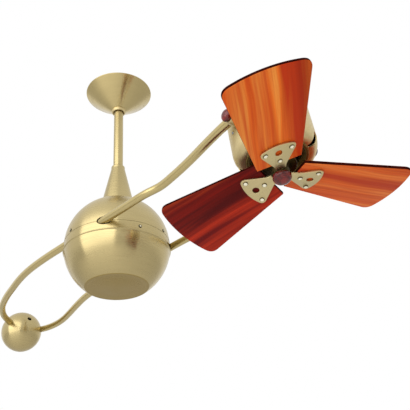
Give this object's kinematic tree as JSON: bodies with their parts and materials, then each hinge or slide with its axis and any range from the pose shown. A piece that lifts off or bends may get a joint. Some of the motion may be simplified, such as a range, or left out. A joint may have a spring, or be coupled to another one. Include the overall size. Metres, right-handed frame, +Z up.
{
  "type": "ceiling fan",
  "caption": "Ceiling fan whose tilting bladed head rides on bent tubes crossing a spherical turret under a downrod, balanced by a ball at the far end.",
  "frame": {"origin": "centre of the ceiling bracket's top face, in the ceiling plane, on the downrod axis", "axes": "+Z up along the downrod, +X from the downrod towards the fan head, +Y to the side of the head's second tube"},
  "size_m": [1.2281, 0.3883, 0.5414],
  "materials": {
    "brass": "satin, lightly brushed and lacquered",
    "bright_brass": "bright satin",
    "steel": "plain",
    "dark_iron": "dark",
    "winding_copper": "enamelled copper wire",
    "blade_wood": "lacquered, orange-red with dark lengthwise grain",
    "dark_wood": "turned and polished, dark red-brown"
  },
  "bodies": {
    "hanger": {"ceiling_bracket": "steel", "bracket_pin": "steel", "canopy": "brass", "canopy_screw_1": "brass", "canopy_screw_2": "brass", "canopy_neck_ring": "bright_brass", "downrod": "brass", "spindle": "steel", "spindle_nut": "steel", "bell_cover": "brass", "bell_set_screw": "steel"},
    "turret": {"turret_frame": "steel", "bearing_upper": "steel", "bearing_lower": "steel", "tube_clamp_left": "steel", "tube_clamp_right": "steel", "clamp_screw_left": "steel", "clamp_screw_right": "steel", "slip_ring_housing": "dark_iron", "upper_dome": "brass", "cover_band": "bright_brass", "band_screw_1": "bright_brass", "band_screw_2": "bright_brass", "band_screw_3": "bright_brass", "band_screw_4": "bright_brass", "band_screw_5": "bright_brass", "band_screw_6": "bright_brass", "lower_bowl": "brass", "tube_left": "brass", "tube_right": "brass", "counterweight_ball": "brass", "ball_set_screw": "dark_iron", "pivot_boss_left": "bright_brass", "pivot_boss_right": "bright_brass"},
    "head": {"motor_housing": "bright_brass", "housing_screw_1": "steel", "housing_screw_2": "steel", "housing_screw_3": "steel", "housing_screw_4": "steel", "bezel_ring": "bright_brass", "rear_cover": "bright_brass", "stator_core": "dark_iron", "winding_front": "winding_copper", "winding_rear": "winding_copper", "front_spider": "steel", "pivot_stud_left": "steel", "pivot_stud_right": "steel"},
    "knob_left": {"tilt_knob_left": "dark_wood"},
    "knob_right": {"tilt_knob_right": "dark_wood"},
    "fan": {"rotor_core": "steel", "rotor_shaft": "steel", "hub_plate": "bright_brass", "blade_iron_1": "bright_brass", "blade_1": "blade_wood", "blade_iron_2": "bright_brass", "blade_2": "blade_wood", "blade_iron_3": "bright_brass", "blade_3": "blade_wood", "hub_cap": "dark_wood"}
  },
  "joints": [
    {"name": "turret_turn", "type": "hinge", "parent": "hanger", "child": "turret", "pos_m": [0, 0, -0.416], "axis": [0, 0, 1], "continuous": true},
    {"name": "head_tilt", "type": "hinge", "parent": "turret", "child": "head", "pos_m": [0.4613, 0.0376, -0.4132], "axis": [0, -0.9994, 0.0349], "range_deg": [-18, 80]},
    {"name": "knob_left_turn", "type": "hinge", "parent": "head", "child": "knob_left", "pos_m": [0.4613, 0.0376, -0.4132], "axis": [0, -0.9994, 0.0349], "continuous": true},
    {"name": "knob_right_turn", "type": "hinge", "parent": "head", "child": "knob_right", "pos_m": [0.4613, 0.0376, -0.4132], "axis": [0, 0.9994, -0.0349], "continuous": true},
    {"name": "fan_spin", "type": "hinge", "parent": "head", "child": "fan", "pos_m": [0.4613, 0.0376, -0.4132], "axis": [-0.1495, 0.0345, 0.9882], "continuous": true}
  ]
}
